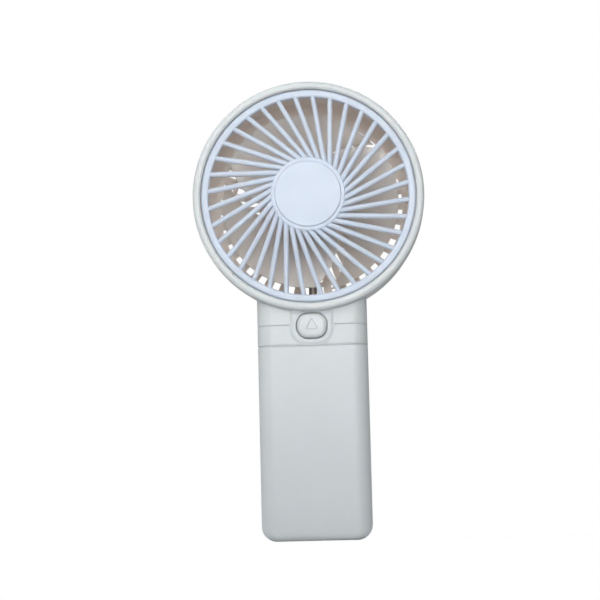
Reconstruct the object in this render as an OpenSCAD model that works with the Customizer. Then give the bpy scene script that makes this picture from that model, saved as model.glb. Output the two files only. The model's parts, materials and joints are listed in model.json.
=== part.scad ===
// Handheld battery fan: a round ducted head on a flat, rounded grip.
// Millimetres. X is to the right seen from the front, -Y is the front, Z is up.
// The origin is at the middle of the foot that the fan stands on.

/* [Head] */
// Outside diameter of the ring around the front grille
head_d = 100; // [92:1:120]
// Depth of the head from the ring's lip to the back
head_depth = 36; // [34:1:44]
// Wall thickness of the head and neck shells
shell_t = 2; // [1.6:0.1:2.4]
// Width of the ring's rounded lip
lip_w = 3.3; // [3:0.1:4]
// Length of the ring, front to back
ring_len = 11; // [8:0.5:14]
// Step from the ring down to the drum behind it
drum_step = 1.2; // [0.8:0.1:1.6]
// Rounding of the drum's back edge
shoulder_r = 8; // [5:0.5:9]
// Length of neck that shows between the collar and the ring
neck_h = 6; // [5:0.5:14]

/* [Front grille] */
// Width of the grille's rim
rim_w = 3.2; // [2.6:0.1:4]
// Thickness of the grille's rim
rim_t = 3; // [2.4:0.1:3.6]
// How far the rim sits behind the ring's lip
rim_sink = 1.2; // [0.6:0.1:2]
// How far the hub disc stands ahead of the ring's lip
hub_proud = 3; // [1.5:0.5:5]
// Diameter of the raised disc on the hub
hub_disc_d = 28.4; // [24:0.2:32]
// Diameter of the hub that the spokes run into
hub_d = 32.4; // [28:0.2:36]
// Number of spokes
spoke_n = 36; // [24:1:40]
// Width of a spoke
spoke_w = 1.9; // [1.4:0.1:2.2]
// Radius of the circle that the spokes' centre lines touch
spoke_lean = 9.4; // [0:0.2:12]

/* [Impeller] */
// Diameter over the blade tips
tip_d = 78; // [66:1:80]
// Number of blades
blade_n = 3; // [2:1:5]
// Share of its sector that a blade covers
blade_cover = 0.92; // [0.6:0.01:0.95]
// Height of the blades along the axis
blade_h = 15; // [10:0.5:16]
// Thickness of a blade along the axis
blade_t = 1.4; // [1:0.1:2]
// Turn of a blade's edge from root to tip, in degrees
blade_sweep = 42; // [0:1:50]

/* [Motor] */
// Diameter of the motor's can
motor_d = 24.4; // [22:0.2:25]
// Length of the motor's can without its end cap
motor_len = 10.8; // [10:0.2:11]
// Diameter of the motor's shaft
shaft_d = 2; // [1.5:0.1:2.4]

/* [Handle] */
// Width of the handle
grip_w = 47.4; // [46.8:0.2:60]
// Thickness of the handle, front to back
grip_t = 24; // [22:0.2:29]
// Corner radius of the handle's cross-section
grip_r = 6.5; // [5:0.1:8]
// Length of the grip sleeve that slides off
grip_h = 83.5; // [80:0.5:110]
// Wall of the grip sleeve
grip_wall = 1.7; // [1.4:0.1:1.8]
// Rounding of the sleeve's two lower corners seen from the front
foot_r = 6.6; // [4:0.2:9]
// Rounding of the sleeve's lower edges, front and back
toe_r = 3.4; // [2.5:0.1:6]
// Height of the collar between the sleeve and the neck
collar_h = 8.5; // [8.4:0.1:12]

/* [Power button] */
// Width of the button's hole
hole_w = 13.5; // [12:0.1:15]
// Height of the button's hole
hole_h = 11.2; // [10:0.1:11.6]
// Corner radius of the button's hole
hole_r = 4.6; // [3:0.1:5]
// Width of the rim of the boss around the hole
boss_rim = 2.5; // [2:0.1:3]
// How far the boss stands ahead of the handle's front
boss_proud = 1.4; // [0.8:0.1:2]
// How far the button is pressed
button_travel = 1.2; // [0.6:0.1:1.3]

/* [Battery cells] */
// Diameter of a cell
cell_d = 14.2; // [13.8:0.1:14.3]
// Length of a cell's body without its raised contact
cell_len = 49.5; // [48:0.5:50]
// Height that a contact spring fills
spring_h = 5; // [4:0.5:6]

/* [Hidden] */
$fn = 64;

// Clearances
gap_move = 0.35;   // between pieces that slide past each other
gap_line = 0.3;    // between the sleeve's mouth and the collar
gap_fit = 0.15;    // between fixed pieces that plug together
gap_rim = 0.3;     // around the front grille
gap_run = 0.05;    // shaft in a bush, brush on the commutator
eps = 0.5;         // overshoot of cuts

// Head: distances along the axis are forward from the head's middle plane
hub_front = (head_depth + hub_proud) / 2;
lip_front = hub_front - hub_proud;
head_back = lip_front - head_depth;
ring_r = head_d / 2;
ring_back = lip_front - ring_len;
lip_r = lip_w - 0.6;
drum_r = ring_r - drum_step;
bore_r = drum_r - shell_t;
recess_r = ring_r - lip_w;
rim_front = lip_front - rim_sink;
rim_back = rim_front - rim_t;
rim_r = recess_r - gap_rim;
open_r = rim_r - rim_w;
ledge_r = recess_r - 2.1;
ledge_t = 1.6;
ledge_front = rim_back - gap_move;
ledge_back = ledge_front - ledge_t;
clip_t = 1;
clip_len = 2;
notch_at = 228;
notch_w = 5.2;
wall_in = head_back + shell_t;
split = 0;
collar_z = grip_h;
mouth_z = collar_z - gap_line;
neck_z = collar_z + collar_h;
axis_z = neck_z + neck_h + ring_r;

// Spokes: thickness, and the slope from the rim up to the hub
spoke_t = 2.2;
spoke_phase = -1.4;
hub_t = 2.6;
hub_step = 0.7;

// Back grille slots
slot_n = 36;
slot_in = 23;
slot_ring = 35;
slot_ring_w = 2;
slot_share = 0.47;
slot_out = drum_r - shoulder_r - 0.4;

// Motor: the front of the can and what lies along the shaft
seat_gap = 2;
seat_t = 1.2;
seat_len = 9.5;
cap_len = 1.5;
can_t = 0.8;
can_back = wall_in + seat_gap + cap_len;
can_front = can_back + motor_len;
motor_r = motor_d / 2;
shaft_r = shaft_d / 2;
bush_r = shaft_r + 1.6;
boss_len = 1.3;
bush_len = 2.5;
shaft_back = can_back - cap_len + 0.3;
magnet_r = motor_r - can_t - 0.05;
magnet_t = 2.35;
rotor_r = magnet_r - magnet_t - 0.4;
rotor_len = 4.6;
rotor_z = can_front - 7.3;
comm_r = 2.6;
comm_len = 2.3;
comm_z = can_back + 0.7;

// Impeller
seat_r = motor_r + gap_run + seat_t;
skirt_in = seat_r + 0.6;
skirt_t = 1.2;
skirt_r = skirt_in + skirt_t;
blade_front = can_front + boss_len + 7.4;
blade_back = blade_front - blade_h - blade_t;
cup_front = blade_front + 1.6;
cup_back = blade_back - 0.4;
cup_t = 1.6;
socket_r = 3.2;
shaft_front = cup_front - cup_t - 0.4;
blade_phase = 84;

// Handle and neck
neck_half_w = grip_w / 2;
plug_t = 1.6;
rebate = 0.35;
screw_x = neck_half_w - 6.7;
screw_z = neck_z + 5;
screw_r = 1.1;
screw_boss_r = 2.7;
screw_head_r = 2;
screw_head_t = 1.5;
screw_head_y = 7;
screw_seat_r = screw_boss_r + 0.4;
plug_h = screw_z - neck_z - screw_seat_r - gap_fit;
tab_t = 1.8;
tab_w = 12;
tab_edge = 3.2;
tab_top = screw_z + 3.3;

// Button, switch and board
hole_z = neck_z - 0.4;
boss_front = grip_t / 2 + boss_proud;
wall_back = grip_t / 2 - shell_t;
tongue_w = hole_w + 2 * boss_rim;
tongue_low = hole_z - hole_h / 2 - boss_rim;
tongue_r = hole_r + boss_rim;
button_gap = 0.3;
flange_t = 1;
flange_grow = 0.6;
button_front = boss_front + 0.9;
flange_back = wall_back - button_gap - flange_t;
switch_front = flange_back - button_travel - 2.3;
switch_t = 3;
switch_w = 6.2;
board_front = switch_front - switch_t;
board_t = 1;
board_w = 25;
board_low = neck_z - 4.5;
board_top = neck_z + 5;
plunger_r = 1.7;
board_screw_x = board_w / 2 - 2;
board_screw_z = neck_z + 2.5;
post_r = 1.9;
button_dome = 60;
lead_hole_y = 7;
lead_hole_r = 3.4;

// Battery bay
cell_pitch = cell_d + 0.3;
cell_r = cell_d / 2;
nub_h = 1;
plate_t = 0.4;
tray_low = foot_r + 0.4;
end_t = 2;
bay_low = tray_low + end_t;
bay_top = bay_low + 2 * plate_t + spring_h + cell_len + nub_h;
tray_back = cell_r + 0.8;
tray_back_t = 1.5;
rib_w = 2.4;
rib_front = cell_r - 2.6;
plate_back = rib_front - gap_fit;
plate_front = -5;
tray_inset = grip_wall + gap_move;
window_w = 30;
window_h = collar_z - bay_top - end_t - 3;
wire_r = 0.6;
solder_y = -board_front + board_t + wire_r + 0.05;

// ---------- shared shapes ----------

// Stands a drawing (x, y) up on the fan's axis, with +z pointing forward.
module on_axis() {
  translate([0, 0, axis_z]) rotate([90, 0, 0]) children();
}

// Extrudes a drawing in (x, z) from y0 to y1.
module along_y(y0, y1) {
  translate([0, y1, 0]) rotate([90, 0, 0]) linear_extrude(y1 - y0) children();
}

// Extrudes a drawing in (y, z) across the handle.
module along_x(w) {
  rotate([90, 0, 90]) linear_extrude(w, center = true) children();
}

module rounded_rect(w, h, r) {
  square([w - 2 * r, h], center = true);
  square([w, h - 2 * r], center = true);
  for (sx = [-1, 1], sy = [-1, 1])
    translate([sx * (w / 2 - r), sy * (h / 2 - r)]) circle(r);
}

// An upright outline with two rounded lower corners.
module rounded_foot(w, z0, z1, r) {
  translate([-w / 2, z0 + r]) square([w, z1 - z0 - r]);
  translate([-w / 2 + r, z0]) square([w - 2 * r, r + 0.1]);
  for (s = [-1, 1])
    translate([s * (w / 2 - r), z0 + r]) circle(r);
}

// The handle's cross-section, moved in from its outside by inset.
module grip_section(inset = 0) {
  rounded_rect(grip_w - 2 * inset, grip_t - 2 * inset, grip_r - inset);
}

module grip_slab(z0, z1, inset = 0) {
  translate([0, 0, z0]) linear_extrude(z1 - z0) grip_section(inset);
}

module grip_wall_slab(z0, z1, inset, t) {
  translate([0, 0, z0]) linear_extrude(z1 - z0)
    difference() {
      grip_section(inset);
      grip_section(inset + t);
    }
}

// The sleeve's outer form, or its inside when moved in by inset.
module grip_form(inset, top) {
  intersection() {
    grip_slab(inset, top, inset);
    along_y(-grip_t, grip_t) rounded_foot(grip_w - 2 * inset, inset, top + 1, foot_r - inset);
    along_x(2 * grip_w) rounded_foot(grip_t - 2 * inset, inset, top + 1, toe_r - inset);
  }
}

// The tongue that carries the button, seen from the front.
module tongue_outline(grow = 0) {
  rounded_foot(tongue_w + 2 * grow, tongue_low - grow, axis_z - ring_r + 3, tongue_r + grow);
}

module ring(r_out, r_in, z0, z1) {
  translate([0, 0, z0]) difference() {
    cylinder(r = r_out, h = z1 - z0);
    translate([0, 0, -eps]) cylinder(r = r_in, h = z1 - z0 + 2 * eps);
  }
}

module half_space(front) {
  translate([-grip_w, front ? -2 * grip_w : 0, 0]) cube([2 * grip_w, 2 * grip_w, axis_z]);
}

// A tube of radius r along a list of points, as one closed skin.
function unit(v) = v / norm(v);
function tangent(p, i) =
  unit(p[min(i + 1, len(p) - 1)] - p[max(i - 1, 0)]);
function across(t, ref) = unit(cross(t, ref));
module tube(p, r, ref = [1, 0, 0], sides = 8) {
  n = len(p);
  rings = [for (i = [0:n - 1])
    let (t = tangent(p, i), u = across(t, ref), v = cross(t, u))
    for (k = [0:sides - 1])
      p[i] + r * (cos(360 * k / sides) * u + sin(360 * k / sides) * v)];
  skin = [for (i = [0:n - 2], k = [0:sides - 1])
    let (a = i * sides + k, b = i * sides + (k + 1) % sides)
    [a, a + sides, b + sides, b]];
  ends = [[for (k = [0:sides - 1]) k], [for (k = [sides - 1:-1:0]) (n - 1) * sides + k]];
  polyhedron(rings, concat(skin, ends), convexity = 6);
}

// Points on a smooth curve through hand-picked points.
function blend4(a, b, c, d, t) = 0.5 * (2 * b + (c - a) * t + (2 * a - 5 * b + 4 * c - d) * t * t
  + (3 * b - a - 3 * c + d) * t * t * t);
function smooth(p, steps) = concat([for (i = [0:len(p) - 2], s = [0:steps - 1])
  blend4(p[max(i - 1, 0)], p[i], p[i + 1], p[min(i + 2, len(p) - 1)], s / steps)],
  [p[len(p) - 1]]);

// A coil spring along z, from radius r0 at the bottom to r1 at the top.
module coil(r0, r1, h, wire, turns, per_turn = 14) {
  n = round(turns * per_turn);
  p = [for (i = [0:n]) let (s = i / n, a = 360 * turns * s, r = r0 + (r1 - r0) * s)
    [r * cos(a), r * sin(a), wire + (h - 2 * wire) * s]];
  tube(p, wire, [0, 0, 1], 6);
}

// ---------- head shells ----------

module ring_profile() {
  translate([recess_r, ring_back]) square([lip_w, ring_len - lip_r]);
  translate([recess_r, ring_back]) square([lip_w - lip_r, ring_len]);
  intersection() {
    translate([ring_r - lip_r, lip_front - lip_r]) circle(lip_r);
    translate([recess_r, ring_back]) square([lip_w, ring_len]);
  }
}

module front_head() {
  rotate_extrude($fn = 160) ring_profile();
  ring(ring_r, bore_r, ring_back, ledge_back + 0.5);
  ring(drum_r, bore_r, split, ring_back + 0.1);
  ring(recess_r + 0.5, ledge_r, ledge_back, ledge_front);
}

module neck_half(front) {
  intersection() {
    difference() {
      grip_slab(neck_z, axis_z - 0.6 * ring_r);
      grip_slab(neck_z - eps, axis_z, shell_t);
      on_axis() cylinder(r = drum_r - shell_t / 2, h = 4 * head_depth, center = true, $fn = 160);
    }
    half_space(front);
  }
}

module neck_rebate() {
  grip_wall_slab(neck_z - eps, neck_z + rebate, -1, 1 + rebate);
}

module at_screws(x, z) {
  for (s = [-1, 1]) translate([s * x, 0, z]) rotate([90, 0, 0]) children();
}

module front_posts() {
  at_screws(screw_x, screw_z)
    translate([0, 0, tab_t / 2 + 0.1]) cylinder(r = screw_boss_r, h = wall_back - tab_t / 2);
  at_screws(board_screw_x, board_screw_z)
    translate([0, 0, board_front]) cylinder(r = post_r, h = wall_back - board_front + 0.2);
}

module front_shell() {
  color("ivory") difference() {
    union() {
      on_axis() front_head();
      neck_half(true);
      difference() {
        along_y(-boss_front, -wall_back) tongue_outline();
        on_axis() cylinder(r = ring_r - 1, h = 4 * head_depth, center = true, $fn = 160);
      }
      front_posts();
    }
    along_y(-boss_front - eps, -wall_back + eps)
      translate([0, hole_z]) rounded_rect(hole_w, hole_h, hole_r);
    at_screws(screw_x, screw_z) cylinder(r = screw_r + 0.05, h = wall_back - 1.5);
    at_screws(board_screw_x, board_screw_z) cylinder(r = 0.8, h = wall_back - 1);
    on_axis() ring(bore_r + 0.5, bore_r - 1, split + 1.2, split + 2.6);
    on_axis() rotate([0, 0, notch_at]) translate([recess_r - 1, -notch_w / 2, rim_front - 1.5])
      cube([1.9, notch_w, 4]);
    difference() {
      neck_rebate();
      along_y(-boss_front - eps, -wall_back + eps) tongue_outline();
    }
  }
}

module drum_profile(inset) {
  h = split - head_back - inset;
  r = shoulder_r - inset;
  translate([0, head_back + inset]) square([drum_r - inset - r, h]);
  translate([0, head_back + inset + r]) square([drum_r - inset, h - r]);
  translate([drum_r - inset - r, head_back + inset + r]) circle(r);
}

// One slot, as wide as its share of the pitch, from radius a to radius b.
module slot(a, b) {
  half = 180 / slot_n * slot_share;
  polygon([[a * cos(half), -a * sin(half)], [b * cos(half), -b * sin(half)],
    [b * cos(half), b * sin(half)], [a * cos(half), a * sin(half)]]);
}

module back_slots() {
  translate([0, 0, head_back - eps]) linear_extrude(shell_t + 2 * eps)
    for (i = [0:slot_n - 1]) rotate((i + 0.5) * 360 / slot_n) {
      slot(slot_in, slot_ring - slot_ring_w / 2);
      slot(slot_ring + slot_ring_w / 2, slot_out);
    }
}

module motor_seat() {
  difference() {
    ring(seat_r, motor_r + gap_run, wall_in - eps, wall_in + seat_len);
    translate([-6, -seat_r - 1, wall_in - 0.01]) cube([12, 6, seat_gap + cap_len]);
  }
}

module rear_head() {
  difference() {
    union() {
      difference() {
        rotate_extrude($fn = 160) intersection() {
          drum_profile(0);
          translate([0, head_back]) square([drum_r, split - head_back]);
        }
        rotate_extrude($fn = 160) intersection() {
          drum_profile(shell_t);
          translate([0, head_back]) square([drum_r, split - head_back + eps]);
        }
        translate([0, 0, split - eps / 2]) cylinder(r = bore_r, h = 2, $fn = 160);
      }
      ring(bore_r + 0.5, bore_r - 1.2, split - 2.5, split);
      ring(bore_r - gap_fit, bore_r - 1.2, split - 0.1, split + 3.2);
      for (a = [90, 200, 340]) rotate([0, 0, a - 9])
        rotate_extrude(angle = 18, $fn = 160)
          translate([bore_r - 0.5, split + 1.4]) square([0.8, 1]);
    }
    back_slots();
  }
  motor_seat();
}

module rear_posts() {
  at_screws(screw_x, screw_z)
    translate([0, 0, -wall_back - 0.2]) cylinder(r = screw_seat_r, h = wall_back + 0.1 - tab_t / 2);
}

module rear_shell() {
  color("ivory") difference() {
    union() {
      on_axis() rear_head();
      neck_half(false);
      rear_posts();
    }
    at_screws(screw_x, screw_z) translate([0, 0, -grip_t]) cylinder(r = screw_r + 0.2, h = grip_t);
    at_screws(screw_x, screw_z) translate([0, 0, -grip_t])
      cylinder(r = screw_head_r + 0.3, h = grip_t - screw_head_y);
    translate([0, lead_hole_y, axis_z - drum_r - 3]) cylinder(r = lead_hole_r, h = 9);
    neck_rebate();
  }
}

// ---------- front grille ----------

// How far along a spoke's own line it meets the radius r.
function along_spoke(r) = sqrt(r * r - spoke_lean * spoke_lean);

module spoke() {
  root = [along_spoke(hub_d / 2) - 1.5, hub_front - hub_step - 0.3];
  tip = [along_spoke(open_r + 1.2), rim_front - 0.2];
  translate([0, spoke_w / 2 - spoke_lean, 0]) rotate([90, 0, 0]) linear_extrude(spoke_w)
    polygon([root, tip, tip - [0, spoke_t], root - [0, spoke_t]]);
}

module rim_profile() {
  e = 0.6;
  translate([open_r, rim_back]) square([rim_w, rim_t - e]);
  translate([open_r + e, rim_back]) square([rim_w - 2 * e, rim_t]);
  for (r = [open_r + e, rim_r - e]) translate([r, rim_front - e]) circle(e);
}

module hub_profile() {
  e = 0.6;
  hub_back = hub_front - hub_t - hub_step;
  translate([0, hub_back]) square([hub_d / 2, hub_t - e]);
  translate([0, hub_back]) square([hub_d / 2 - e, hub_t]);
  translate([hub_d / 2 - e, hub_back + hub_t - e]) circle(e);
  translate([0, hub_back]) square([hub_disc_d / 2 - e, hub_t + hub_step]);
  translate([0, hub_back]) square([hub_disc_d / 2, hub_t + hub_step - e]);
  translate([hub_disc_d / 2 - e, hub_front - e]) circle(e);
}

// A tab behind the rim that grips the ledge's bore.
module clip() {
  rotate([0, 0, -5]) rotate_extrude(angle = 10, $fn = 160)
    translate([ledge_r - gap_move - clip_t, rim_back - clip_len]) square([clip_t, clip_len + 0.5]);
}

module front_grille() {
  color("aliceblue") on_axis() {
    rotate_extrude($fn = 160) rim_profile();
    rotate_extrude($fn = 120) hub_profile();
    for (i = [0:spoke_n - 1]) rotate([0, 0, i * 360 / spoke_n + spoke_phase]) spoke();
    for (a = [45:90:315]) rotate([0, 0, a]) clip();
  }
}

// ---------- impeller ----------

function blade_angle(r, t) = blade_phase + t * blade_cover * 360 / blade_n
  - blade_sweep * (r - skirt_r) / (tip_d / 2 - skirt_r);
function blade_point(r, t, side) =
  let (a = blade_angle(r, t), rise = t - 0.05 * sin(360 * t))
  [r * cos(a), r * sin(a), blade_back + blade_h * rise + side * blade_t];

module blade() {
  along = 20;
  out = 6;
  root_r = skirt_r - skirt_t / 2;
  p = [for (side = [0, 1], i = [0:along], j = [0:out])
    blade_point(root_r + (tip_d / 2 - root_r) * j / out, i / along, side)];
  row = out + 1;
  top = (along + 1) * row;
  quads = [for (i = [0:along - 1], j = [0:out - 1]) i * row + j];
  low = [for (q = quads) each [[q, q + 1, q + row], [q + 1, q + row + 1, q + row]]];
  high = [for (q = quads) each [[top + q, top + q + row, top + q + 1],
    [top + q + 1, top + q + row, top + q + row + 1]]];
  root_edge = [for (i = [0:along - 1]) let (q = i * row)
    each [[q, top + q + row, top + q], [q, q + row, top + q + row]]];
  tip_edge = [for (i = [0:along - 1]) let (q = i * row + out)
    each [[q, top + q, top + q + row], [q, top + q + row, q + row]]];
  back_edge = [for (q = [0:out - 1]) each [[q, top + q + 1, q + 1], [q, top + q, top + q + 1]]];
  front_edge = [for (j = [0:out - 1]) let (q = along * row + j)
    each [[q, q + 1, top + q + 1], [q, top + q + 1, top + q]]];
  faces = concat(low, high, root_edge, tip_edge, back_edge, front_edge);
  polyhedron(p, faces, convexity = 8);
}

module cup_profile() {
  e = 1.2;
  translate([skirt_in, cup_back]) square([skirt_t, cup_front - cup_back - e]);
  translate([shaft_r, cup_front - cup_t]) square([skirt_r - e - shaft_r, cup_t]);
  translate([skirt_r - e - 1, cup_front - cup_t - 0.2]) square([1, cup_t]);
  intersection() {
    translate([skirt_r - e, cup_front - e]) circle(e);
    translate([skirt_in, 0]) square([skirt_t, cup_front]);
  }
  translate([shaft_r, can_front + boss_len + 1.1])
    square([socket_r - shaft_r, cup_front - cup_t - can_front - boss_len - 1]);
}

module impeller() {
  color("antiquewhite") on_axis() {
    rotate_extrude($fn = 96) cup_profile();
    for (i = [0:blade_n - 1]) rotate([0, 0, i * 360 / blade_n]) blade();
    for (i = [0:5]) rotate([0, 0, i * 60 + 15])
      translate([socket_r - 0.2, -0.5, can_front + boss_len + 3])
        cube([skirt_in - socket_r + 0.4, 1, cup_front - cup_t - can_front - boss_len - 2.9]);
  }
}

// ---------- motor ----------

module motor_shaft() {
  color("silver") on_axis()
    translate([0, 0, shaft_back]) cylinder(r = shaft_r, h = shaft_front - shaft_back);
}

module pole_gaps(r) {
  for (i = [0:2]) rotate(60 + i * 120) {
    translate([r - 2.1, -0.8]) square([4, 1.6]);
    intersection() {
      difference() {
        circle(r - 1.6);
        circle(3.4);
      }
      polygon([[0, 0], [r, -r * tan(38)], [r, r * tan(38)]]);
    }
  }
}

module motor_armature() {
  color("gray") on_axis() translate([0, 0, rotor_z]) linear_extrude(rotor_len)
    difference() {
      circle(rotor_r);
      circle(shaft_r);
      pole_gaps(rotor_r);
    }
}

module motor_windings() {
  color("peru") on_axis() translate([0, 0, rotor_z - 0.7]) linear_extrude(rotor_len + 1.4)
    for (i = [0:2], s = [-1, 1]) rotate(i * 120)
      intersection() {
        difference() {
          circle(rotor_r - 1.75);
          circle(3.6);
        }
        rotate(s * 37.2) translate([0, -0.9]) square([rotor_r, 1.8]);
      }
}

module motor_commutator() {
  color("chocolate") on_axis() translate([0, 0, comm_z]) difference() {
    cylinder(r = comm_r, h = comm_len);
    translate([0, 0, -eps]) cylinder(r = shaft_r, h = comm_len + 2 * eps);
    for (i = [0:2]) rotate([0, 0, i * 120]) translate([shaft_r + 0.9, -0.15, -eps])
      cube([comm_r, 0.3, comm_len + 2 * eps]);
  }
}

module motor_can() {
  color("lightsteelblue") on_axis() {
    ring(motor_r, motor_r - can_t, can_back, can_front);
    ring(motor_r - can_t / 2, bush_r, can_front - can_t, can_front);
    ring(bush_r + 1, bush_r, can_front - 0.1, can_front + boss_len);
  }
}

module motor_magnets() {
  color("dimgray") on_axis() for (a = [25, 205]) rotate([0, 0, a])
    rotate_extrude(angle = 130)
      translate([magnet_r - magnet_t, rotor_z - 1.2]) square([magnet_t, rotor_len + 2.4]);
}

module motor_bushes() {
  color("goldenrod") on_axis() {
    ring(bush_r, shaft_r + gap_run, can_front + boss_len - bush_len, can_front + boss_len);
    ring(bush_r, shaft_r + gap_run, shaft_back - 0.1, shaft_back + 1.6);
  }
}

module motor_end_cap() {
  color("whitesmoke") on_axis() difference() {
    union() {
      translate([0, 0, can_back - cap_len]) cylinder(r = motor_r, h = cap_len);
      ring(motor_r - can_t, motor_r - can_t - 1, can_back - 0.1, can_back + 0.8);
      translate([0, 0, can_back - 0.1]) cylinder(r = bush_r + 0.9, h = 0.5);
    }
    translate([0, 0, shaft_back - 0.1]) cylinder(r = bush_r, h = 5);
  }
}

module motor_brushes() {
  color("orange") on_axis() for (a = [0, 180]) rotate([0, 0, a]) {
    translate([-1.6, comm_r + gap_run, comm_z + 0.5]) cube([7.2, 0.3, 1.4]);
    translate([5.3, comm_r + gap_run, can_back]) cube([0.3, 1.4, comm_z - can_back + 1.9]);
  }
}

module motor_terminals() {
  color("gold") on_axis() for (s = [-1, 1])
    translate([s * 4.5 - 1.1, -11, can_back - cap_len - plate_t]) cube([2.2, 4, plate_t]);
}

module motor_wires() {
  y0 = -(can_back - cap_len - plate_t) + wire_r;
  through = axis_z - drum_r;
  for (s = [-1, 1]) color(s < 0 ? "firebrick" : "black")
    tube(smooth([[s * 4.5, y0, axis_z - 8.5], [s * 4.4, y0, axis_z - 11.5],
      [s * 1.6, y0 - 0.2, axis_z - 20], [s * 1.2, y0 - 0.6, axis_z - 32],
      [s * 1.2, y0 - 2.4, through + 7.3], [s * 1.2, lead_hole_y + 2, through + 3.5],
      [s * 1.2, lead_hole_y - 0.4, through - 0.2], [s * 1.4, solder_y + 4.55, through - 4.2],
      [s * 2.2, solder_y + 0.3, board_top - 1.5], [s * 2.4, solder_y, board_top - 3.5]], 3),
      wire_r, [1, 0, 0]);
}

// ---------- button, switch and board ----------

module power_button() {
  w = hole_w - 2 * button_gap;
  h = hole_h - 2 * button_gap;
  r = hole_r - button_gap;
  color("ivory") intersection() {
    union() {
      along_y(-button_front, -wall_back + button_gap)
        translate([0, hole_z]) rounded_rect(w, h, r);
      along_y(-flange_back - flange_t, -flange_back) translate([0, hole_z])
        rounded_rect(hole_w + 2 * flange_grow, hole_h + 2 * flange_grow, r);
      on_button() translate([0, 0, flange_back - 0.8]) cylinder(r = plunger_r + 0.2, h = 1);
    }
    on_button() translate([0, 0, button_front - button_dome]) sphere(r = button_dome, $fn = 160);
  }
}

module on_button() {
  translate([0, 0, hole_z]) rotate([90, 0, 0]) children();
}

module switch_plunger() {
  top = flange_back - 0.8;
  color("dimgray") on_button() translate([0, 0, switch_front - 1.3])
    cylinder(r = plunger_r, h = top - switch_front + 1.3);
}

module switch_body() {
  color("darkslategray") difference() {
    along_y(-switch_front, -board_front) translate([0, hole_z])
      square([switch_w, switch_w], center = true);
    on_button() translate([0, 0, board_front + 0.2])
      cylinder(r = plunger_r + 0.1, h = switch_t);
  }
}

module button_spring() {
  color("silver") on_button() translate([0, 0, switch_front + 0.05])
    coil(2.5, 2.5, flange_back - switch_front - 0.1, 0.2, 3.5);
}

module control_board() {
  color("seagreen") difference() {
    along_y(-board_front, -board_front + board_t)
      translate([-board_w / 2, board_low]) square([board_w, board_top - board_low]);
    at_screws(board_screw_x, board_screw_z)
      translate([0, 0, board_front - 2]) cylinder(r = 1, h = 4);
  }
}

module board_components() {
  back = -board_front + board_t;
  color("black") along_y(back, back + 1.4)
    translate([6.2, board_low + 2.6]) square([4, 3.2], center = true);
  color("tan") for (x = [-9.8, -7.2])
    along_y(back, back + 0.9) translate([x, board_low + 2]) square([1.6, 0.9], center = true);
  color("black") translate([-6, back + 1.3, board_low + 3.6]) rotate([90, 0, 0])
    cylinder(r = 1.5, h = 1.3);
}

module board_screws() {
  back = board_front - board_t;
  color("silver") at_screws(board_screw_x, board_screw_z) {
    translate([0, 0, back - 0.9]) cylinder(r = 1.6, h = 0.9);
    translate([0, 0, back - 0.1]) cylinder(r = 0.75, h = 5);
  }
}

// ---------- battery tray, cells and contacts ----------

module tray_bay() {
  grip_slab(tray_low, bay_low, tray_inset);
  grip_slab(bay_top, bay_top + end_t, tray_inset);
  intersection() {
    grip_slab(tray_low, collar_z, tray_inset);
    union() {
      translate([-grip_w / 2, tray_back, tray_low]) cube([grip_w, tray_back_t, collar_z - tray_low]);
      for (s = [-1, 1]) translate([s * cell_pitch / 2 - rib_w / 2, rib_front, tray_low])
        cube([rib_w, tray_back - rib_front + 0.1, bay_top - tray_low]);
    }
  }
  difference() {
    grip_wall_slab(bay_top, collar_z, tray_inset, plug_t);
    translate([-window_w / 2, -grip_t, bay_top + end_t]) cube([window_w, grip_t, window_h]);
  }
}

module tray_collar() {
  difference() {
    grip_slab(collar_z, neck_z);
    grip_slab(collar_z + 1.5, neck_z + eps, shell_t + 0.2);
    along_y(-grip_t, -wall_back + 0.2) tongue_outline(gap_fit);
    for (z = [collar_z, neck_z - rebate])
      translate([0, 0, z]) linear_extrude(rebate) difference() {
        grip_section(-1);
        grip_section(rebate);
      }
  }
}

module tray_plug() {
  inset = shell_t + gap_fit;
  difference() {
    grip_wall_slab(neck_z - plug_h, neck_z + plug_h, inset, plug_t);
    translate([-board_w / 2 - 0.5, -grip_t, neck_z - plug_h - 1])
      cube([board_w + 1, grip_t, 2 * plug_h + 2]);
  }
  intersection() {
    grip_slab(neck_z - plug_h, tab_top, inset);
    for (s = [-1, 1])
      translate([s * (screw_x - tab_edge + tab_w / 2) - tab_w / 2, -tab_t / 2, collar_z])
        cube([tab_w, tab_t, tab_top - collar_z]);
  }
}

module battery_tray() {
  color("gainsboro") difference() {
    union() {
      tray_bay();
      tray_collar();
      tray_plug();
    }
    at_screws(screw_x, screw_z) translate([0, 0, -2]) cylinder(r = screw_r + 0.2, h = 4);
    translate([-6, -2.5, collar_z - eps]) cube([12, 9, 3]);
    translate([cell_pitch / 2 - 1, -grip_t, bay_top - eps]) cube([2, grip_t - cell_r + 2, end_t + 1]);
    translate([-cell_pitch - 2, 5.2, bay_top - eps]) cube([4, 1, end_t + 1]);
  }
}

module grip_sleeve() {
  color("ivory") difference() {
    grip_form(0, mouth_z);
    grip_form(grip_wall, mouth_z + 1);
    grip_wall_slab(mouth_z - rebate, mouth_z + 1, -1, 1 + rebate);
  }
}

module cell(x, inverted, paint) {
  low = inverted ? bay_low + plate_t + nub_h : bay_low + plate_t + spring_h;
  color(paint) translate([x, 0, low]) {
    cylinder(r = cell_r, h = cell_len);
    translate([0, 0, inverted ? -nub_h : cell_len - 0.1]) cylinder(r = 2.7, h = nub_h + 0.1);
  }
}

module battery_left() {
  cell(-cell_pitch, false, "darkgoldenrod");
}

module battery_middle() {
  cell(0, true, "darkgoldenrod");
}

module battery_right() {
  cell(cell_pitch, false, "darkgoldenrod");
}

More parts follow.
